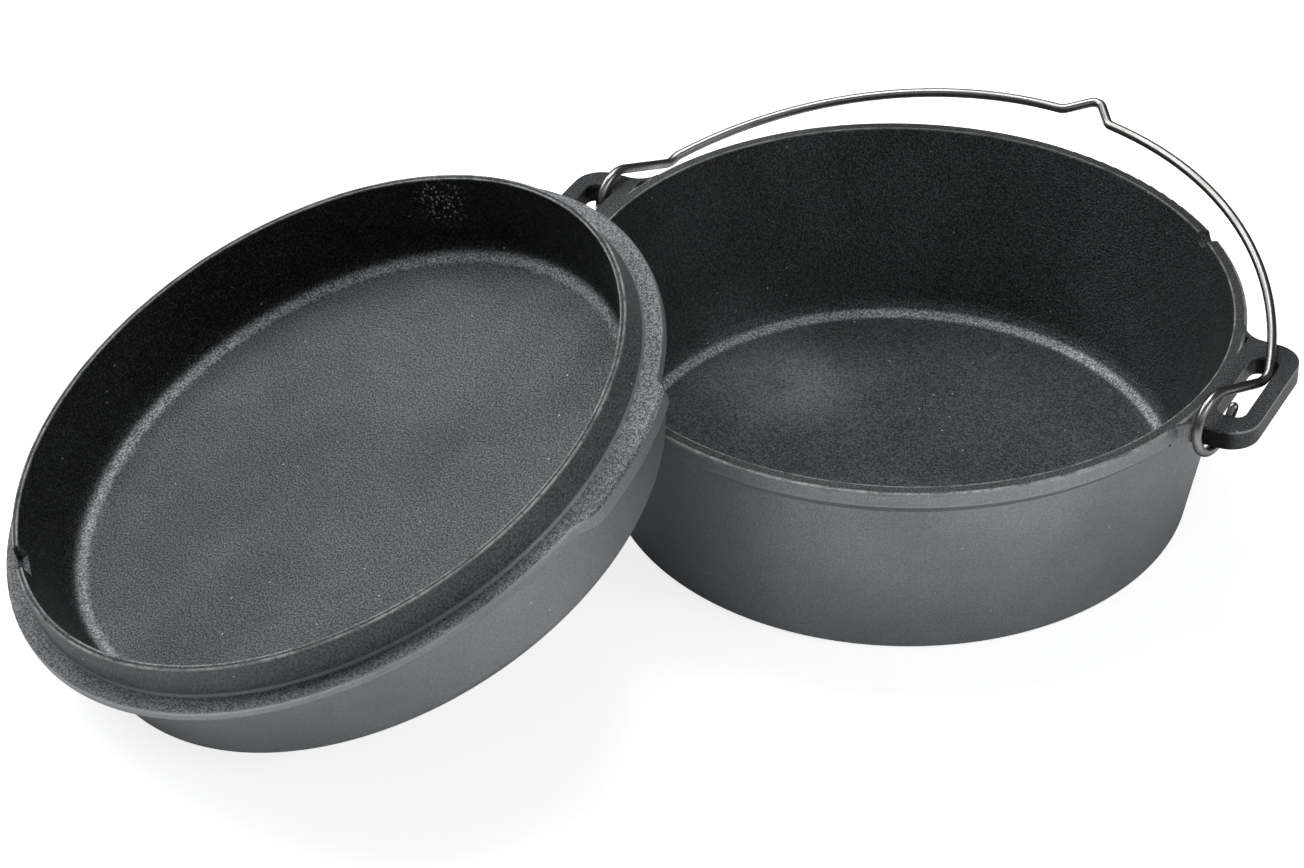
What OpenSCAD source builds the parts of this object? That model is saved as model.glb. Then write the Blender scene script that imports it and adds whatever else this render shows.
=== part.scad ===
// Camp dutch oven: a flat-bottomed cast pot with two loop ears, a bent wire bail and a pan-shaped lid.
// The lid's other face is a tray for coals inside a tall rim. The lid is off the pot. It lies open side up,
// with the low edge of its coal rim on the ground and the inner edge of that rim on the rim of the pot.
// Millimetres. Origin at the centre of the pot's base, +Z up, X along the line from ear to ear.

/* [Pot] */
// Diameter over the rim
rim_diameter = 315; // [220:1:400]
// Height from the ground to the rim
pot_height = 100; // [70:1:180]
// Diameter of the base where the wall would meet the ground
base_diameter = 272; // [180:1:380]
// Width of the rim's top face
rim_width = 6; // [5:0.1:9]
// Height of the thicker band below the rim
lip_height = 7; // [4:0.5:12]
// How far that band stands out from the wall
lip_reach = 3; // [1:0.1:4]
// Thickness of the wall at the floor
wall_thickness = 4.8; // [4:0.1:8]
// Thickness of the floor
floor_thickness = 5; // [4:0.1:9]
// Radius of the outer edge of the base
base_edge_radius = 4; // [2:0.5:10]
// Radius between floor and wall inside
floor_fillet_radius = 12; // [6:0.5:25]
// Radius of the rim's outer edge
rim_edge_radius = 1.6; // [0.8:0.1:2.2]

/* [Thermometer notch] */
// Width of the notch in the rim
notch_width = 10; // [6:0.5:14]
// Angle of the notch from the ear line
notch_angle = 46; // [35:1:75]

/* [Ears] */
// Width of the web between the rim and the slot
web_width = 4; // [3:0.1:8]
// Thickness of an ear
ear_thickness = 9.3; // [7:0.1:11]
// Length of the slot along the rim
slot_length = 51; // [46:1:64]
// Width of the slot across the rim
slot_width = 13.5; // [12.5:0.1:16]
// Width of the bar outside the slot
bar_width = 7.6; // [6:0.1:10]
// Width of the bar between the slot and each end of the ear
arm_width = 12.5; // [9:0.1:13]
// Radius of an ear's outer corners
ear_corner_radius = 14; // [8:0.5:16]
// Radius between an ear and the wall
ear_root_radius = 12; // [6:0.5:12]
// Radius of the slot's corners
slot_corner_radius = 5; // [2:0.5:6]

/* [Lid] */
// How far the lid's flange stands out beyond the pot's rim
flange_overhang = 1.3; // [0:0.1:4]
// Thickness of the flange
flange_thickness = 5.5; // [4:0.5:8]
// Depth from the flange's seating face to the edge of the coal rim
lid_depth = 51.2; // [42:0.1:80]
// How much narrower the coal rim's edge is than the flange, on the radius
lid_base_inset = 18.8; // [14:0.1:26]
// How much narrower the wall is than the flange where they meet, on the radius
lid_wall_inset = 9.8; // [9:0.1:13]
// Thickness of the lid's plate
lid_plate_thickness = 5; // [4:0.1:8]
// Thickness of the lid's wall at the plate
lid_wall_thickness = 8; // [6:0.1:10]
// Radius between the lid's plate and wall on the cooking side
lid_fillet_radius = 12; // [6:0.5:20]
// Height of the coal rim above the plate
coal_rim_height = 21.4; // [12:0.1:28]
// Width of the coal rim's edge
coal_rim_width = 8.4; // [7:0.1:10]
// Radius of the coal rim's outer edge
lid_edge_radius = 5; // [2:0.5:6]
// Radius between the plate and the coal rim
tray_fillet_radius = 6; // [2:0.5:10]
// Height of the collar that drops into the pot
collar_height = 14.7; // [8:0.1:20]
// Gap between the collar's root and the pot's rim
collar_gap = 1; // [0.6:0.1:2]
// How much the collar narrows to its edge
collar_taper = 2.8; // [1:0.1:4]
// Thickness of the collar's edge
collar_edge_width = 2.6; // [2.2:0.1:5]
// Width of the notch in the collar
lid_notch_width = 16; // [8:0.5:22]
// Depth of the notch in the collar
lid_notch_depth = 7; // [4:0.5:10]

/* [Lid grip] */
// How far the grip tab stands out from the flange
tab_reach = 6; // [4:0.1:12]
// Angle that the grip tab covers at half its reach
tab_angle = 28; // [18:1:40]
// Radius of the tab's outer corners
tab_corner_radius = 12; // [7:0.5:14]
// Radius between the tab and the flange
tab_root_radius = 14; // [8:0.5:16]
// Angle from the tab's line to the collar's notch
tab_to_notch = 40.5; // [30:0.5:80]

/* [Lid lean] */
// How far short of the coal rim's top edge, up the slope, the lid lies on the pot's rim
lean_inset = 14.4; // [8:0.1:30]
// Direction from the lid's low edge to its raised edge
lean_direction = 45.5; // [40:0.1:52]
// Sideways shift of the lid from the line of its lean
lean_shift = 22.6; // [0:0.1:30]
// Turn of the lid about its own axis
lid_turn = -46.5; // [-60:0.5:-40]
// Gap between the coal rim and the pot's rim that it lies on
lean_gap = 0.4; // [0.3:0.1:1]

/* [Bail] */
// Diameter of the wire
wire_diameter = 4.5; // [4:0.1:5]
// Distance from the slot's inner edge to the middle of a hook
hook_seat = 5.5; // [5:0.1:6.5]
// Radius of the hooks on the wire's centre line
hook_radius = 14; // [13:0.1:16]
// Distance from the pivot line to the kinks
kink_out = 41; // [38:0.5:46]
// Fall of the folded bail's kinks below the pivot line
kink_drop = 0.7; // [0:0.1:0.7]
// Height of the arch above the kinks
arch_height = 115.5; // [100:0.5:150]
// Lean of the folded bail from upright
bail_lean = 75.3; // [72:0.1:80]
// Fall of the folded bail from its higher to its lower hook
bail_tilt = 1.3; // [0:0.1:1.5]
// Height of the hanging peak above the arch
peak_height = 10.4; // [8:0.1:16]
// Slope of the sides of the peak
peak_slope = 45; // [40:1:50]
// Radius of the two feet of the peak
peak_foot_radius = 6; // [4:0.5:10]
// Radius of the tip of the peak
peak_tip_radius = 5; // [4:0.5:8]
// Radius of the kinks
kink_radius = 10; // [6:0.5:12]

/* [Hidden] */
$fn = 96;
iron = [0.11, 0.11, 0.115];
lid_iron = [0.13, 0.13, 0.135];
steel = [0.72, 0.72, 0.70];
cut = 1;
corner_bite = 0.02;

rim_r = rim_diameter / 2;
rim_in = rim_r - rim_width;
base_r = base_diameter / 2;
lip_z = pot_height - lip_height;
lip_foot = lip_z - 2 * lip_reach;
wall_top_r = rim_r - lip_reach;
wall_slope = atan((wall_top_r - base_r) / pot_height);
cavity_r = base_r + floor_thickness * tan(wall_slope) - wall_thickness;
cavity_slope = (rim_in - cavity_r) / (pot_height - floor_thickness);
lip_foot_r = base_r + lip_foot * tan(wall_slope);

slot_in = rim_r + web_width;
slot_out = slot_in + slot_width;
ear_out = slot_out + bar_width;
slot_half = slot_length / 2;
ear_half = slot_half + arm_width;
ear_z = pot_height - ear_thickness;
root_y = ear_half + ear_root_radius;
root_bite = 0.6;
root_r = rim_r + ear_root_radius - root_bite;
root_x = sqrt(pow(root_r, 2) - pow(root_y, 2));

flange_r = rim_r + flange_overhang;
lid_base_r = flange_r - lid_base_inset;
lid_wall_r = flange_r - lid_wall_inset;
flange_z = lid_depth - flange_thickness;
collar_root_r = rim_in - collar_gap;
collar_edge_r = collar_root_r - collar_taper;
collar_z = lid_depth + collar_height;
dish_top_r = collar_edge_r - collar_edge_width;
dish_z = coal_rim_height + lid_plate_thickness;
dish_r = lid_base_r + (lid_wall_r - lid_base_r) * dish_z / lid_depth - lid_wall_thickness;
tray_r = lid_base_r - coal_rim_width;
tray_draft = 1;
tab_out = flange_r + tab_reach;
tab_bend = tab_corner_radius + tab_root_radius;
tab_corner_r = tab_out - tab_corner_radius;
tab_root_r = flange_r + tab_root_radius - root_bite;
tab_bend_angle = acos((pow(tab_corner_r, 2) + pow(tab_root_r, 2) - pow(tab_bend, 2))
    / (2 * tab_corner_r * tab_root_r));
tab_corner_angle = tab_angle / 2 - tab_bend_angle / 2;
tab_root_angle = tab_angle / 2 + tab_bend_angle / 2;
flange_edge_radius = 1.4;

lid_flat_r = lid_base_r - lid_edge_radius;
rim_edge_z = pot_height - rim_edge_radius;
lean_reach = tray_r - lean_inset;
lean_angle = lean(0, 8);
lid_low = lid_flat_r * sin(lean_angle) + lid_edge_radius * (1 - cos(lean_angle));
seat_out = lean_reach * cos(lean_angle);
seat_side = sqrt(pow(tray_r, 2) - pow(lean_reach, 2));
lid_out = seat_out + sqrt(pow(rim_r - rim_edge_radius, 2) - pow(seat_side - lean_shift, 2));

pivot_z = pot_height - ear_thickness / 2;
arm_y = slot_half + arm_width / 2;
hook_x = slot_in + hook_seat;
bail_skew = asin(arm_y / hook_x);
hook_open = 255;
let_in_length = 0.4;
let_in_diameter = wire_diameter - 0.08;
stub_length = 9;
run_angle = asin(hook_radius / kink_out);
run_length = kink_out * cos(run_angle);
leg_rise = 90 - bail_lean + atan(kink_drop / kink_out);
hook_start = 90 - run_angle;
kink_turn = run_angle + leg_rise;
kink_cut = kink_radius * tan(kink_turn / 2);
bend_radius = 10;
bend_x = hook_x - bend_radius;
arch_low = arch_height - kink_cut;
arch_radius = (pow(arch_low, 2) + pow(bend_x, 2) - pow(bend_radius, 2)) / (2 * (arch_low - bend_radius));
arch_centre = arch_height - arch_radius;
arch_start = atan((kink_cut - arch_centre) / bend_x);
tip_y = arch_height + peak_height - peak_tip_radius;
foot_out = arch_radius + peak_foot_radius;
peak_line = peak_foot_radius + peak_tip_radius + (tip_y - arch_centre) * cos(peak_slope);
foot_angle = peak_slope - acos(peak_line / foot_out);
foot_x = foot_out * sin(foot_angle);
foot_y = arch_centre + foot_out * cos(foot_angle);
ramp_x = foot_x - peak_foot_radius * sin(peak_slope);
ramp_y = foot_y - peak_foot_radius * cos(peak_slope);
ramp_length = (ramp_x - peak_tip_radius * sin(peak_slope)) / cos(peak_slope);

// Slope at which the lid touches the ground and the pot's rim, closer with each step
function lean(angle, steps) = steps == 0 ? angle : lean(
    asin((rim_edge_z + (rim_edge_radius + lean_gap) / cos(angle) - lid_edge_radius * (1 - cos(angle)))
        / (lean_reach + lid_flat_r)),
    steps - 1
);

// Half section of a round dish: flat bottom, rounded corner, straight sloping side
module dish_section(bottom_r, bottom_z, corner, top_r, top_z) {
    slope = atan((top_r - bottom_r) / (top_z - bottom_z));
    corner_x = bottom_r - corner * (1 - sin(slope)) / cos(slope);
    corner_z = bottom_z + corner;
    side_x = corner_x + corner * cos(slope);
    side_z = corner_z - corner * sin(slope);
    polygon([
        [0, bottom_z],
        [corner_x, bottom_z],
        [corner_x, corner_z],
        [side_x, side_z],
        [top_r, top_z],
        [0, top_z]
    ]);
    intersection() {
        translate([corner_x, corner_z]) circle(corner + corner_bite);
        translate([corner_x, bottom_z]) square([2 * corner, 1.5 * corner]);
    }
}

module rim_section() {
    inner = rim_in - (pot_height - lip_foot) * cavity_slope - cut / 2;
    polygon([
        [inner, lip_foot],
        [lip_foot_r, lip_foot],
        [rim_r, lip_z],
        [rim_r, lip_z + cut],
        [inner, lip_z + cut]
    ]);
    translate([inner, lip_z]) square([rim_r - inner, lip_height - rim_edge_radius]);
    translate([inner, lip_z]) square([rim_r - rim_edge_radius - inner, lip_height]);
    translate([rim_r - rim_edge_radius, pot_height - rim_edge_radius]) circle(rim_edge_radius);
}

module ear_plate() {
    inner = rim_r - rim_width / 2;
    inner_share = inner / root_r;
    translate([inner, -ear_half]) square([ear_out - ear_corner_radius - inner, 2 * ear_half]);
    translate([inner, ear_corner_radius - ear_half])
        square([ear_out - inner, 2 * (ear_half - ear_corner_radius)]);
    for (side = [-1, 1]) {
        translate([ear_out - ear_corner_radius, side * (ear_half - ear_corner_radius)])
            circle(ear_corner_radius);
        difference() {
            polygon([
                [root_x, side * (ear_half - cut)],
                [root_x, side * root_y],
                [root_x * inner_share, side * root_y * inner_share],
                [inner, side * (ear_half - cut)]
            ]);
            translate([root_x, side * root_y]) circle(ear_root_radius);
        }
    }
}

module slot_plate() {
    flat = slot_length - 2 * slot_corner_radius;
    translate([slot_in, -flat / 2]) square([slot_width, flat]);
    translate([slot_in + slot_corner_radius, -slot_half])
        square([slot_width - 2 * slot_corner_radius, slot_length]);
    for (x = [slot_in + slot_corner_radius, slot_out - slot_corner_radius])
        for (y = [-flat / 2, flat / 2])
            translate([x, y]) circle(slot_corner_radius);
}

module ear() {
    translate([0, 0, ear_z])
        linear_extrude(ear_thickness)
            difference() {
                ear_plate();
                slot_plate();
            }
}

module pot() {
    color(iron)
        difference() {
            union() {
                rotate_extrude() {
                    dish_section(base_r, 0, base_edge_radius, lip_foot_r, lip_foot);
                    rim_section();
                }
                ear();
                rotate([0, 0, 180]) ear();
            }
            rotate_extrude() dish_section(cavity_r, floor_thickness, floor_fillet_radius, rim_in, pot_height);
            translate([0, 0, pot_height - cut / 2]) cylinder(r = rim_in, h = 2 * cut);
            rotate([0, 0, notch_angle])
                translate([rim_r + rim_width, 0, pot_height])
                    rotate([0, -90, 0]) cylinder(d = notch_width, h = 3 * rim_width);
        }
}

module flange_section() {
    inner = lid_wall_r - cut;
    translate([inner, flange_z]) square([flange_r - flange_edge_radius - inner, flange_thickness]);
    translate([inner, flange_z + flange_edge_radius])
        square([flange_r - inner, flange_thickness - 2 * flange_edge_radius]);
    for (z = [flange_z + flange_edge_radius, lid_depth - flange_edge_radius])
        translate([flange_r - flange_edge_radius, z]) circle(flange_edge_radius);
    polygon([
        [0, lid_depth - cut],
        [collar_root_r, lid_depth - cut],
        [collar_root_r, lid_depth],
        [collar_edge_r, collar_z],
        [0, collar_z]
    ]);
}

function on_circle(radius, angle) = [radius * cos(angle), radius * sin(angle)];

module tab_plate() {
    beyond = 1.2 * tab_out;
    for (side = [-1, 1]) {
        corner = side * tab_corner_angle;
        root = side * tab_root_angle;
        translate(on_circle(tab_corner_r, corner)) circle(tab_corner_radius);
        difference() {
            polygon([
                on_circle(lid_wall_r, corner - side),
                on_circle(tab_corner_r, corner),
                on_circle(tab_root_r, root),
                on_circle(lid_wall_r, root)
            ]);
            translate(on_circle(tab_root_r, root)) circle(tab_root_radius);
        }
    }
    intersection() {
        circle(tab_out);
        polygon([
            [0, 0],
            on_circle(beyond, tab_corner_angle),
            on_circle(beyond, -tab_corner_angle)
        ]);
    }
}

// The lid before it is laid down: coal rim at the bottom, cooking side up
module lid_casting() {
    difference() {
        union() {
            rotate_extrude() {
                dish_section(lid_base_r, 0, lid_edge_radius, lid_wall_r, lid_depth);
                flange_section();
            }
            translate([0, 0, flange_z]) linear_extrude(flange_thickness) tab_plate();
        }
        rotate_extrude() dish_section(dish_r, dish_z, lid_fillet_radius, dish_top_r, collar_z);
        rotate_extrude()
            mirror([0, 1]) dish_section(tray_r - tray_draft, -coal_rim_height, tray_fillet_radius, tray_r, 0);
        translate([0, 0, -cut]) cylinder(r = tray_r, h = 1.5 * cut);
        translate([0, 0, collar_z - cut / 2]) cylinder(r = dish_top_r, h = 2 * cut);
        rotate([0, 0, 180 + tab_to_notch])
            translate([lid_base_r, -lid_notch_width / 2, collar_z - lid_notch_depth])
                cube([lid_base_inset, lid_notch_width, lid_notch_depth + cut]);
    }
}

module lid() {
    color(lid_iron)
        translate([0, 0, lid_low])
            rotate([0, 0, lean_direction])
                translate([-lid_out, -lean_shift, 0])
                    rotate([0, -lean_angle, 0])
                        rotate([0, 0, lid_turn]) lid_casting();
}

// Wire bent round a radius, starting at the angle start and turning by the angle turn.
// Every second length of wire is let into its neighbours' ends, a hair thinner than they are.
module wire_bend(radius, start, turn, let_in = 0) {
    extra = let_in / radius * 180 / PI;
    rotate([0, 0, start - extra])
        rotate_extrude(angle = turn + 2 * extra)
            translate([radius, 0]) circle(d = let_in > 0 ? let_in_diameter : wire_diameter);
}

// Straight wire from a point in the drawing plane, in the direction heading
module wire_run(x, y, heading, length, let_in = 0) {
    translate([x, y, 0])
        rotate([0, 0, heading])
            translate([-let_in, 0, 0])
                rotate([0, 90, 0])
                    cylinder(d = let_in > 0 ? let_in_diameter : wire_diameter, h = length + 2 * let_in);
}

// Hook, run and kink of one end, drawn in the plane across the pivot line
module bail_end() {
    stub_start = hook_start + hook_open;
    stub_x = hook_radius * cos(stub_start);
    stub_y = hook_radius * sin(stub_start);
    wire_bend(hook_radius, hook_start, hook_open, let_in_length);
    wire_run(stub_x, stub_y, stub_start + 90, stub_length);
    translate([stub_x, stub_y, 0])
        rotate([0, 0, stub_start + 90])
            translate([stub_length, 0, 0])
                rotate([0, 90, 0]) sphere(d = let_in_diameter);
    wire_run(hook_radius * cos(hook_start), hook_radius * sin(hook_start), -run_angle, run_length - kink_cut);
    translate([kink_out - kink_cut * cos(run_angle), kink_cut * sin(run_angle), 0])
        translate([kink_radius * sin(run_angle), kink_radius * cos(run_angle), 0])
            wire_bend(kink_radius, -90 - run_angle, kink_turn, let_in_length);
}

// One half of the arch, drawn flat with the kink line along X
module arch_half() {
    translate([bend_x, kink_cut, 0]) wire_bend(bend_radius, 0, arch_start);
    translate([0, arch_centre, 0])
        wire_bend(arch_radius, arch_start, 90 - foot_angle - arch_start, let_in_length);
    translate([foot_x, foot_y, 0]) wire_bend(peak_foot_radius, 270 - peak_slope, peak_slope - foot_angle);
    wire_run(ramp_x, ramp_y, 180 - peak_slope, ramp_length, let_in_length);
}

module bail_side() {
    translate([hook_x, 0, 0]) rotate([90, 0, 90]) bail_end();
    translate([0, kink_out, 0]) rotate([leg_rise, 0, 0]) arch_half();
}

module bail() {
    color(steel)
        translate([0, 0, pivot_z])
            rotate([0, 0, -bail_skew])
                rotate([-atan(kink_drop / kink_out), -bail_tilt, 0]) {
                    bail_side();
                    mirror([1, 0, 0]) bail_side();
                    translate([0, kink_out, 0])
                        rotate([leg_rise, 0, 0])
                            translate([0, tip_y, 0])
                                wire_bend(peak_tip_radius, 90 - peak_slope, 2 * peak_slope);
                }
}

pot();
lid();
bail();
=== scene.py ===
"""Looks of a camp dutch oven: seasoned cast iron, a bright steel bail and a white studio. Metres."""
import math

import bpy
from mathutils import Euler, Matrix, Vector

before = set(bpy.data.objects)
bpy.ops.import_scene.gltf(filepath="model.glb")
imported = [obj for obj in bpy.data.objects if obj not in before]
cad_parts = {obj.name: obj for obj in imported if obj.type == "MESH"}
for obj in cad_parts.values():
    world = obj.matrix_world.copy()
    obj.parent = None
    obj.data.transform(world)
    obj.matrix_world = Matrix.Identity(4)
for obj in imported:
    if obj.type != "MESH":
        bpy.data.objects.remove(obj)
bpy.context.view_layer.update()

# Camera, in the object's frame
CAMERA_PLACE = (0.63886, -1.49779, 1.14795)
CAMERA_AIM = (-0.08589, -0.08651, 0.05)
CAMERA_ROLL = math.radians(-0.4746)
CAMERA_LENS = 115.95
SENSOR_WIDTH = 36

# Lamps: name, place, aim, width, length and brightness level
LAMPS = (
    ("left", (-1.32, -0.1, 1.29), (-0.15, -0.15, 0.05), 1.2, 1.0, 3.1),
    ("overhead", (-0.35, 0.3, 1.75), (-0.05, -0.05, 0), 0.9, 0.8, 5.0),
    ("back", (-0.6, 0.85, 1.5), (-0.1, 0.0, 0.05), 0.9, 0.5, 2.2),
    ("right", (1.8, -0.2, 0.9), (0.05, 0, 0.05), 1.0, 0.9, 2.2),
    ("front right", (1.3, -1.2, 1.3), (0.1, -0.1, 0.0), 1.0, 0.8, 0.7),
    ("front", (0.1, -1.9, 1.7), (-0.05, -0.1, 0), 1.6, 1.2, 0.3),
)
ROOM_COLOUR = (0.92, 0.96, 1.0, 1)
ROOM_LEVEL = 0.06

# How much the floor glows beyond its lit surface, so that it reads as white
FLOOR_GLOW = 0.8
# Tone of the floor in direct view, and the painted reflection that gloss sees in it: brighter near the
# object, darker far from it
FLOOR_TONE = 0.88
FLOOR_NEAR = 1.15
FLOOR_FAR = 0.12
FLOOR_NEAR_REACH = 0.4
FLOOR_FAR_REACH = 1.1
FLOOR_SIZE = 14

# Where the lid lies: the frame of its casting, as the part's source places it
LEAN_ANGLE = math.radians(23.4)
LEAN_DIRECTION = math.radians(45.5)
LEAN_SHIFT = 0.0226
LID_SPIN = math.radians(-46.5)
LID_OUT = 0.25897
LID_LOW = 0.05403

# Circles where the finish is worn or changes, as radius and height in each casting's own frame
POT_RIM_OUTER = (0.1570, 0.0996)
POT_RIM_INNER = (0.1515, 0.1000)
POT_LIP_FOOT = (0.1575, 0.0930)
LID_COLLAR_OUTER = (0.1477, 0.0659)
LID_COLLAR_INNER = (0.1451, 0.0659)

# Circles where each inside floor turns up into its wall, with a painted highlight along them
POT_FLOOR_EDGE = (0.1285, 0.0068)
LID_FLOOR_EDGE = (0.1330, 0.0282)

# Zones of painted light and shade: least and greatest radius, least and greatest height. The rim top and
# flange are painted lighter, the collar's outer face and the ear sides darker
RIM_PAINTED_LIGHT = (0.1512, 0.1572, 0.0990, 0.1010)
EAR_PAINTED_SHADE = (0.1610, 0.2300, 0.0600, 0.0988)
COLLAR_PAINTED_SHADE = (0.1462, 0.1520, 0.0530, 0.0670)
FLANGE_PAINTED_LIGHT = (0.1492, 0.1625, 0.0495, 0.0530)

# Places of the marks that use has left, in each casting's own frame, with their reach. The pot's smear
# also paints light on the left of its floor
POT_SMEAR_AND_LIGHT = ((-0.085, 0.045, 0.005), 0.060)
LID_RESIDUE = ((-0.013, 0.142, 0.055), 0.018)

# Half the width over which one finish passes into the next
SOFT_END = 0.0005
# Shares of a ring's width and of a spot's reach at full strength
RING_CORE = 0.3
SPOT_CORE = 0.2

# Noises of the casting skin: cells to the metre, detail and roughness
GRAIN = (1100, 2, 0.6)
FINE = (2600, 2, 0.6)
CLOUD = (16, 3, 0.55)
PATCH = (70, 3, 0.6)
FLECK = (420, 4, 0.7)
DUST_SCALE = 130
CRUMB_SCALE = 620

# Which faces count as outside, inside and turned, from how far they face away from the axis
OUTSIDE_FACING = (0.4, 0.8)
INSIDE_FACING = (-0.5, -0.85)
TURNED_FACING = (0.02, 0.10)

# Ranges of a noise or a distance, each followed by the values it maps to unless these are 0 and 1
CLOUD_TONE = (0.35, 0.65)
SAND_GRAIN = (0.54, 0.68)
SAND_FINE = (0.42, 0.62, 0.2, 1.0)
ZONE_GRAIN = (0.42, 0.60, 0.25, 1.0)
WORN_FLECK = (0.36, 0.50, 0.35, 1.0)
WORN_PATCH = (0.36, 0.60, 0.35, 1.0)
DUST_GAP = (0.035, 0.080, 1, 0)
DUST_CHANCE = (0.50, 0.90)
CRUMB_GAP = (0.20, 0.48, 0.9, 0)
CRUMB_CHANCE = (0.25, 0.6)
HAZE_CLOUD = (0.30, 0.70, 0.3, 1.0)
HAZE_GRAIN = (0.35, 0.65, 0.5, 1.0)
ROUGH_PATCH = (0.3, 0.7, 0.40, 0.46)
ROUGH_GRAIN = (0.35, 0.65, 0.06, -0.04)
SHINE_GRAIN = (0.39, 0.61, 0.35, 1.32)
SHINE_FINE = (0.3, 0.7, 0.7, 1.3)
SHINE_OUTSIDE = (0.3, 0.7, 0.62, 0.92)
SHINE_CLOUD = (0.30, 0.70, 0.85, 1.14)

# Refraction index of the seasoned skin, which sets how much it mirrors, and the tint of that
IRON_GLOSS = 1.8
IRON_SHEEN = (0.91, 0.97, 1.0, 1)
# Colours on the casting skin, and how they change its tone
INNER_TINT = (0.94, 1.0, 1.04)
OUTER_TINT = (0.95, 1.0, 1.03)
CLOUD_LIFT = 1.6
SAND_COLOUR = (0.120, 0.123, 0.125, 1)
SAND_INSIDE = 0.60
SAND_OUTSIDE = 0.25
HAZE_COLOUR = (0.20, 0.205, 0.21, 1)
HAZE_SHARE = 0.85
WORN_COLOUR = (0.55, 0.55, 0.55, 1)
WORN_METAL = 0.35
DUST_COLOUR = (0.72, 0.72, 0.70, 1)
MARK_ROUGHNESS = 0.42

# Relief of the casting skin: depth, strength on inner and outer faces, shares of the noises
CAST_DEPTH = 0.0008
CAST_INSIDE = 1.0
CAST_OUTSIDE = 0.5
FINE_RELIEF = 0.3
PATCH_RELIEF = 0.8

# Radius that sand casting leaves on sharp edges
EDGE_RADIUS = 0.0009
EDGE_SEGMENTS = 3
EDGE_ANGLE = math.radians(40)

# Bail wire: its noises, colours where clean and smudged, the painted shade where it is seen edge on, and
# its finish
SMUDGE = (60, 3, 0.6)
SCRATCH = (2400, 2, 0.6)
STEEL_CLEAN = (0.44, 0.436, 0.425, 1)
STEEL_SMUDGED = (0.35, 0.346, 0.335, 1)
STEEL_SHADED_EDGE = (0.06, 0.06, 0.063, 1)
SMUDGE_TONE = (0.35, 0.7)
SMUDGE_ROUGH = (0.3, 0.7, 0.24, 0.34)
STEEL_SHADED_EDGE_FACING = (0.40, 0.80)
SCRATCH_STRENGTH = 0.12
SCRATCH_DEPTH = 0.0002


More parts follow.
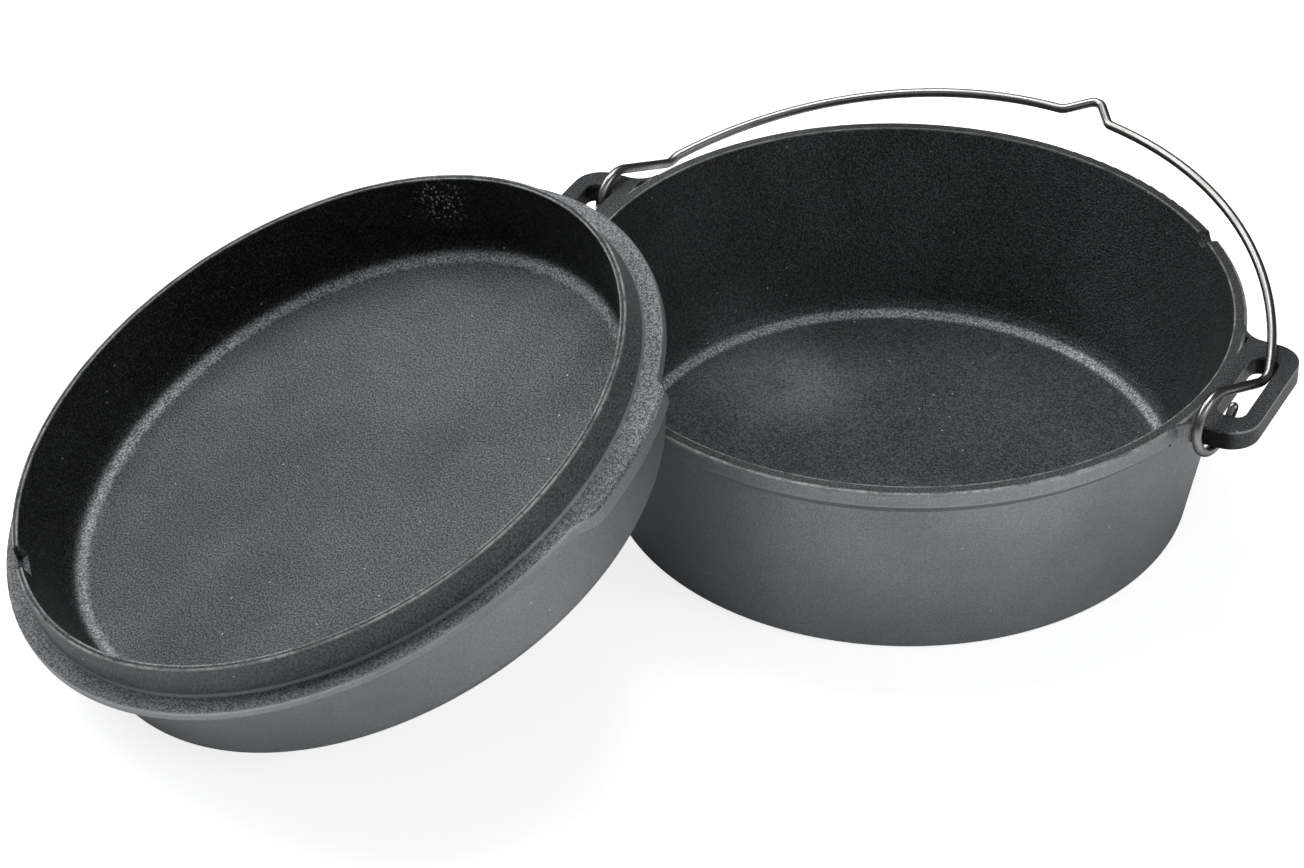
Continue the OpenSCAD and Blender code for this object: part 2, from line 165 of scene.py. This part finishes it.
class Net:
    """A material's node tree, with short ways to add the nodes used here."""

    def __init__(self, name):
        self.material = bpy.data.materials.new(name)
        self.material.use_nodes = True
        self.tree = self.material.node_tree
        self.shader = self.tree.nodes["Principled BSDF"]

    def put(self, socket, value):
        if isinstance(value, bpy.types.NodeSocket):
            self.tree.links.new(value, socket)
        else:
            socket.default_value = value

    def add(self, kind, **settings):
        node = self.tree.nodes.new(kind)
        for name, value in settings.items():
            setattr(node, name, value)
        return node

    def calc(self, operation, first, second=0.0):
        node = self.add("ShaderNodeMath", operation=operation)
        self.put(node.inputs[0], first)
        self.put(node.inputs[1], second)
        return node.outputs[0]

    def product(self, *values):
        total = values[0]
        for value in values[1:]:
            total = self.calc("MULTIPLY", total, value)
        return total

    def span(self, value, low, high, to_low=0.0, to_high=1.0):
        """value mapped from low..high to to_low..to_high, smoothly and without going beyond."""
        node = self.add("ShaderNodeMapRange", interpolation_type="SMOOTHSTEP")
        self.put(node.inputs["Value"], value)
        node.inputs["From Min"].default_value = low
        node.inputs["From Max"].default_value = high
        node.inputs["To Min"].default_value = to_low
        node.inputs["To Max"].default_value = to_high
        return node.outputs["Result"]

    def noise(self, where, scale, detail, roughness):
        node = self.add("ShaderNodeTexNoise")
        self.put(node.inputs["Vector"], where)
        node.inputs["Scale"].default_value = scale
        node.inputs["Detail"].default_value = detail
        node.inputs["Roughness"].default_value = roughness
        return node.outputs[0]

    def cells(self, where, scale):
        """Distance to the nearest scattered point, and that point's random value."""
        node = self.add("ShaderNodeTexVoronoi")
        self.put(node.inputs["Vector"], where)
        node.inputs["Scale"].default_value = scale
        split = self.add("ShaderNodeSeparateColor")
        self.put(split.inputs[0], node.outputs["Color"])
        return node.outputs["Distance"], split.outputs[0]

    def mix(self, share, first, second):
        """A colour between two colours."""
        node = self.add("ShaderNodeMix", data_type="RGBA")
        self.put(node.inputs["Factor"], share)
        self.put(node.inputs[6], first)
        self.put(node.inputs[7], second)
        return node.outputs[2]

    def blend(self, share, first, second):
        """A number between two numbers."""
        node = self.add("ShaderNodeMix", data_type="FLOAT")
        self.put(node.inputs["Factor"], share)
        self.put(node.inputs[2], first)
        self.put(node.inputs[3], second)
        return node.outputs[0]

    def place(self, matrix):
        """Coordinates of the piece in the frame that matrix stands for."""
        inverse = matrix.inverted()
        node = self.add("ShaderNodeMapping", vector_type="POINT")
        self.put(node.inputs["Vector"], self.add("ShaderNodeTexCoord").outputs["Object"])
        node.inputs["Rotation"].default_value = inverse.to_euler("XYZ")
        node.inputs["Location"].default_value = inverse.translation
        return node.outputs[0]

    def polar(self, where):
        """Distance from the axis, and height."""
        split = self.add("ShaderNodeSeparateXYZ")
        self.put(split.inputs[0], where)
        squares = [self.calc("POWER", split.outputs[i], 2) for i in (0, 1)]
        return self.calc("SQRT", self.calc("ADD", *squares)), split.outputs[2]

    def outward(self, where, matrix):
        """1 on faces turned away from the axis, 0 on level ones, -1 on those turned to the axis."""
        turned = self.add("ShaderNodeMapping", vector_type="VECTOR")
        self.put(turned.inputs["Vector"], self.add("ShaderNodeTexCoord").outputs["Normal"])
        turned.inputs["Rotation"].default_value = matrix.inverted().to_euler("XYZ")
        level = self.add("ShaderNodeVectorMath", operation="MULTIPLY")
        self.put(level.inputs[0], where)
        level.inputs[1].default_value = (1, 1, 0)
        away = self.add("ShaderNodeVectorMath", operation="NORMALIZE")
        self.put(away.inputs[0], level.outputs[0])
        facing = self.add("ShaderNodeVectorMath", operation="DOT_PRODUCT")
        self.put(facing.inputs[0], turned.outputs[0])
        self.put(facing.inputs[1], away.outputs[0])
        return facing.outputs["Value"]

    def zone(self, radius, height, limits):
        """1 between the limits of radius and height, with soft ends."""
        ends = ((radius, limits[0], limits[1]), (height, limits[2], limits[3]))
        parts = [self.span(value, low - SOFT_END, low + SOFT_END) for value, low, _ in ends]
        parts += [self.span(value, high - SOFT_END, high + SOFT_END, 1, 0) for value, _, high in ends]
        return self.product(*parts)

    def near_ring(self, radius, height, ring, width):
        """1 on a ring, falling to 0 at width from it."""
        across = self.calc("POWER", self.calc("SUBTRACT", radius, ring[0]), 2)
        along = self.calc("POWER", self.calc("SUBTRACT", height, ring[1]), 2)
        distance = self.calc("SQRT", self.calc("ADD", across, along))
        return self.span(distance, RING_CORE * width, width, 1, 0)

    def near_spot(self, where, spot, reach):
        """1 at a spot, falling to 0 at reach from it."""
        node = self.add("ShaderNodeVectorMath", operation="DISTANCE")
        self.put(node.inputs[0], where)
        node.inputs[1].default_value = spot
        return self.span(node.outputs["Value"], SPOT_CORE * reach, reach, 1, 0)

    def bumps(self, height, strength, depth):
        """Gives the shader a fine relief."""
        node = self.add("ShaderNodeBump")
        self.put(node.inputs["Height"], height)
        self.put(node.inputs["Strength"], strength)
        node.inputs["Distance"].default_value = depth
        self.put(self.shader.inputs["Normal"], node.outputs[0])


class Skin:
    """The coordinates and noises that a casting's finish is made from."""

    def __init__(self, net, matrix):
        self.where = net.place(matrix)
        self.radius, self.height = net.polar(self.where)
        self.facing = net.outward(self.where, matrix)
        self.outside = net.span(self.facing, *OUTSIDE_FACING)
        self.inside = net.span(self.facing, *INSIDE_FACING)
        self.grain = net.noise(self.where, *GRAIN)
        self.fine = net.noise(self.where, *FINE)
        self.cloud = net.noise(self.where, *CLOUD)
        self.patch = net.noise(self.where, *PATCH)


def lid_frame():
    """The matrix from the lid casting's own frame to the object's frame."""
    return (
        Matrix.Translation((0, 0, LID_LOW))
        @ Matrix.Rotation(LEAN_DIRECTION, 4, "Z")
        @ Matrix.Translation((-LID_OUT, -LEAN_SHIFT, 0))
        @ Matrix.Rotation(-LEAN_ANGLE, 4, "Y")
        @ Matrix.Rotation(LID_SPIN, 4, "Z")
    )


def tinted(tone, tint):
    return tuple(tone * share for share in tint) + (1,)


def cast_colour(net, skin, tone, outer_painted_tone, shading_zones):
    """The seasoned skin, clouded, with pale grains of burnt sand in it, and with painted light on its
    outer wall and painted light and shade in zones.
    """
    clouds = net.span(skin.cloud, *CLOUD_TONE)
    colour = net.mix(clouds, tinted(tone, INNER_TINT), tinted(CLOUD_LIFT * tone, INNER_TINT))
    # Painted light: the outer wall gets a far lighter tone than the rest of the skin
    colour = net.mix(skin.outside, colour, tinted(outer_painted_tone, OUTER_TINT))
    sand = net.product(net.span(skin.grain, *SAND_GRAIN), net.span(skin.fine, *SAND_FINE))
    share = net.blend(skin.outside, SAND_INSIDE, SAND_OUTSIDE)
    colour = net.mix(net.product(sand, share), colour, SAND_COLOUR)
    # Painted light and shade: each zone gets a tone of its own
    for limits, painted_tone, _ in shading_zones:
        here = net.zone(skin.radius, skin.height, limits)
        here = net.product(here, net.span(skin.grain, *ZONE_GRAIN))
        colour = net.mix(here, colour, (painted_tone, painted_tone, painted_tone, 1))
    return colour


def cast_sheen(net, skin, painted_sheens, painted_highlight, shading_zones):
    """Level of the skin's gloss, broken up by its grain, with a painted sheen by face, a painted
    highlight ring and painted light and shade in zones.
    """
    level_face, inner_wall, outer_wall = painted_sheens
    # Painted sheen: inner walls mirror little and outer walls much, so they read dark and bright
    sheen = net.blend(skin.outside, net.blend(skin.inside, level_face, inner_wall), outer_wall)
    ring, width, highlight_gain = painted_highlight
    # Painted highlight: the gloss is raised along the circle where the inside floor turns up
    on_ring = net.near_ring(skin.radius, skin.height, ring, width)
    sheen = net.product(sheen, net.blend(on_ring, 1.0, highlight_gain))
    # Painted light and shade: each zone's gloss is raised or lowered
    for limits, _, gain in shading_zones:
        sheen = net.product(sheen, net.blend(net.zone(skin.radius, skin.height, limits), 1.0, gain))
    sheen = net.product(sheen, net.span(skin.cloud, *SHINE_CLOUD))
    grainy = net.product(net.span(skin.grain, *SHINE_GRAIN), net.span(skin.fine, *SHINE_FINE))
    shine = net.blend(skin.outside, grainy, net.span(skin.grain, *SHINE_OUTSIDE))
    return net.product(shine, sheen)


def cast_wear(net, skin, rings):
    """Bare metal along the worn edges, in flecks."""
    turned = net.span(net.calc("ABSOLUTE", skin.facing), *TURNED_FACING)
    worn = 0.0
    for ring, width, strength, on_edge in rings:
        band = net.product(net.near_ring(skin.radius, skin.height, ring, width), strength)
        worn = net.calc("MAXIMUM", worn, net.product(band, turned) if on_edge else band)
    flecks = net.span(net.noise(skin.where, *FLECK), *WORN_FLECK)
    return net.product(worn, flecks, net.span(skin.patch, *WORN_PATCH))


def cast_dust(net, skin, residues):
    """Scattered pale specks, and crumbs where food has dried."""
    gap, chance = net.cells(skin.where, DUST_SCALE)
    dust = net.product(net.span(gap, *DUST_GAP), net.span(chance, *DUST_CHANCE))
    crumb_gap, crumb_chance = net.cells(skin.where, CRUMB_SCALE)
    for spot, reach in residues:
        shown = net.product(net.near_spot(skin.where, spot, reach), net.span(crumb_chance, *CRUMB_CHANCE))
        dust = net.calc("MAXIMUM", dust, net.product(shown, net.span(crumb_gap, *CRUMB_GAP)))
    return dust


def cast_haze(net, skin, smears_and_light):
    """A thin grey film where something was wiped, which on the pot also paints the left of its floor
    lighter.
    """
    haze = 0.0
    for spot, reach in smears_and_light:
        veil = net.product(net.near_spot(skin.where, spot, reach), net.span(skin.cloud, *HAZE_CLOUD))
        haze = net.calc("MAXIMUM", haze, net.product(veil, net.span(skin.grain, *HAZE_GRAIN)))
    return net.product(haze, HAZE_SHARE)


def cast_iron(name, matrix, tone, outer_painted_tone, painted_sheens, rings, painted_highlight, shading_zones, residues=(), smears_and_light=()):
    """Oil-seasoned sand-cast iron.

    tone, outer_painted_tone: of the skin, and of its outer wall, which is painted light
    painted_sheens: gloss of the level faces, the inner wall and the outer wall, set apart to paint the
    inner wall dark and the outer wall bright
    rings: worn edges, each with its circle, width, strength and whether it spares level faces
    painted_highlight: the painted highlight round the inside floor, as its circle, width and gain in
    gloss
    shading_zones: limits of painted light and shade, each with its painted tone and its gain in gloss
    residues, smears_and_light: places of crumbs, and of haze that is a wiped film and also painted light,
    each with its reach
    """
    net = Net(name)
    skin = Skin(net, matrix)
    worn = cast_wear(net, skin, rings)
    dust = cast_dust(net, skin, residues)
    colour = cast_colour(net, skin, tone, outer_painted_tone, shading_zones)
    colour = net.mix(cast_haze(net, skin, smears_and_light), colour, HAZE_COLOUR)
    colour = net.mix(worn, colour, WORN_COLOUR)
    colour = net.mix(dust, colour, DUST_COLOUR)
    rough = net.calc("ADD", net.span(skin.patch, *ROUGH_PATCH), net.span(skin.grain, *ROUGH_GRAIN))
    rough = net.blend(net.calc("MAXIMUM", worn, dust), rough, MARK_ROUGHNESS)
    net.put(net.shader.inputs["Base Color"], colour)
    net.put(net.shader.inputs["Metallic"], net.product(worn, WORN_METAL))
    net.put(net.shader.inputs["Roughness"], rough)
    net.put(net.shader.inputs["Specular IOR Level"], cast_sheen(net, skin, painted_sheens, painted_highlight, shading_zones))
    net.put(net.shader.inputs["IOR"], IRON_GLOSS)
    net.put(net.shader.inputs["Specular Tint"], IRON_SHEEN)
    relief = net.calc("ADD", skin.grain, net.product(skin.fine, FINE_RELIEF))
    relief = net.calc("ADD", relief, net.product(skin.patch, PATCH_RELIEF))
    net.bumps(relief, net.blend(skin.outside, CAST_INSIDE, CAST_OUTSIDE), CAST_DEPTH)
    return net.material


def bright_steel(name):
    """Drawn and polished stainless wire, lightly scratched and smudged, with painted shade on its edges
    as seen.
    """
    net = Net(name)
    where = net.place(Matrix.Identity(4))
    smudge = net.noise(where, *SMUDGE)
    colour = net.mix(net.span(smudge, *SMUDGE_TONE), STEEL_CLEAN, STEEL_SMUDGED)
    edge_on = net.add("ShaderNodeLayerWeight").outputs["Facing"]
    # Painted shade: the wire is darkened where it is seen edge on
    colour = net.mix(net.span(edge_on, *STEEL_SHADED_EDGE_FACING), colour, STEEL_SHADED_EDGE)
    net.put(net.shader.inputs["Base Color"], colour)
    net.put(net.shader.inputs["Metallic"], 1.0)
    net.put(net.shader.inputs["Roughness"], net.span(smudge, *SMUDGE_ROUGH))
    net.bumps(net.noise(where, *SCRATCH), SCRATCH_STRENGTH, SCRATCH_DEPTH)
    return net.material


def dress(node, material):
    """Gives a CAD node its material."""
    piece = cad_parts[node]
    piece.data.materials.clear()
    piece.data.materials.append(material)
    return piece


def soften_edges(piece):
    """Rounds the casting's sharp edges, as sand casting leaves them."""
    bevel = piece.modifiers.new("cast edges", "BEVEL")
    bevel.width = EDGE_RADIUS
    bevel.segments = EDGE_SEGMENTS
    bevel.limit_method = "ANGLE"
    bevel.angle_limit = EDGE_ANGLE
    bevel.use_clamp_overlap = True
    bevel.harden_normals = True


def white_floor():
    """A pale floor that reads as white and keeps the object's soft shadow, and shows gloss a painted
    reflection, brighter near the object and darker far from it.
    """
    bpy.ops.mesh.primitive_plane_add(size=FLOOR_SIZE, location=(0, 0, 0))
    floor = bpy.context.object
    floor.name = "floor"
    net = Net("pale floor")
    path = net.add("ShaderNodeLightPath")
    away, _ = net.polar(net.place(Matrix.Identity(4)))
    # Painted reflection: glossy rays see the floor brighter near the object and darker far from it
    painted_reflection = net.span(away, FLOOR_NEAR_REACH, FLOOR_FAR_REACH, FLOOR_NEAR, FLOOR_FAR)
    diffuse = net.add("ShaderNodeBsdfDiffuse")
    net.put(diffuse.inputs["Color"], net.blend(path.outputs["Is Glossy Ray"], FLOOR_TONE, painted_reflection))
    glow = net.add("ShaderNodeEmission")
    net.put(glow.inputs["Strength"], net.product(path.outputs["Is Camera Ray"], FLOOR_GLOW))
    both = net.add("ShaderNodeAddShader")
    net.put(both.inputs[0], diffuse.outputs[0])
    net.put(both.inputs[1], glow.outputs[0])
    net.put(net.tree.nodes["Material Output"].inputs["Surface"], both.outputs[0])
    floor.data.materials.append(net.material)


def soft_box(name, place, aim, width, length, level):
    """A soft studio lamp of an even brightness level."""
    lamp = bpy.data.lights.new(name, "AREA")
    lamp.shape = "RECTANGLE"
    lamp.size = width
    lamp.size_y = length
    lamp.energy = level * math.pi * width * length
    box = bpy.data.objects.new(name, lamp)
    bpy.context.scene.collection.objects.link(box)
    box.location = place
    box.rotation_euler = (Vector(aim) - Vector(place)).to_track_quat("-Z", "Y").to_euler()


def studio():
    """A dim grey room with soft lamps round the object and above it."""
    world = bpy.data.worlds.new("studio")
    bpy.context.scene.world = world
    world.use_nodes = True
    world.node_tree.nodes["Background"].inputs["Color"].default_value = ROOM_COLOUR
    world.node_tree.nodes["Background"].inputs["Strength"].default_value = ROOM_LEVEL
    for lamp in LAMPS:
        soft_box(*lamp)


def camera():
    """A camera at the photograph's viewing angle."""
    data = bpy.data.cameras.new("camera")
    data.lens = CAMERA_LENS
    data.sensor_width = SENSOR_WIDTH
    data.sensor_fit = "HORIZONTAL"
    data.dof.use_dof = False
    eye = bpy.data.objects.new("camera", data)
    bpy.context.scene.collection.objects.link(eye)
    look = (Vector(CAMERA_AIM) - Vector(CAMERA_PLACE)).to_track_quat("-Z", "Y")
    roll = Euler((0, 0, CAMERA_ROLL)).to_quaternion()
    eye.location = CAMERA_PLACE
    eye.rotation_mode = "QUATERNION"
    eye.rotation_quaternion = look @ roll
    bpy.context.scene.camera = eye


pot_iron = cast_iron(
    "pot iron",
    Matrix.Identity(4),
    tone=0.014,
    outer_painted_tone=0.13,
    painted_sheens=(0.68, 0.72, 2.9),
    rings=[
        (POT_RIM_OUTER, 0.0016, 1.0, True),
        (POT_RIM_INNER, 0.0009, 0.8, False),
        (POT_LIP_FOOT, 0.0008, 0.5, True),
    ],
    painted_highlight=(POT_FLOOR_EDGE, 0.0036, 5.0),
    shading_zones=[(RIM_PAINTED_LIGHT, 0.045, 1.0), (EAR_PAINTED_SHADE, 0.012, 0.14)],
    smears_and_light=[POT_SMEAR_AND_LIGHT],
)
lid_iron = cast_iron(
    "lid iron",
    lid_frame(),
    tone=0.005,
    outer_painted_tone=0.19,
    painted_sheens=(1.18, 0.20, 2.4),
    rings=[(LID_COLLAR_OUTER, 0.0012, 0.9, False), (LID_COLLAR_INNER, 0.0009, 0.8, False)],
    painted_highlight=(LID_FLOOR_EDGE, 0.0042, 2.4),
    shading_zones=[(COLLAR_PAINTED_SHADE, 0.006, 0.30), (FLANGE_PAINTED_LIGHT, 0.11, 1.5)],
    residues=[LID_RESIDUE],
)
pot = dress("pot", pot_iron)
lid = dress("lid", lid_iron)
dress("bail", bright_steel("bright steel"))
soften_edges(pot)
soften_edges(lid)

white_floor()
studio()
camera()
bpy.context.scene.view_settings.view_transform = "Standard"
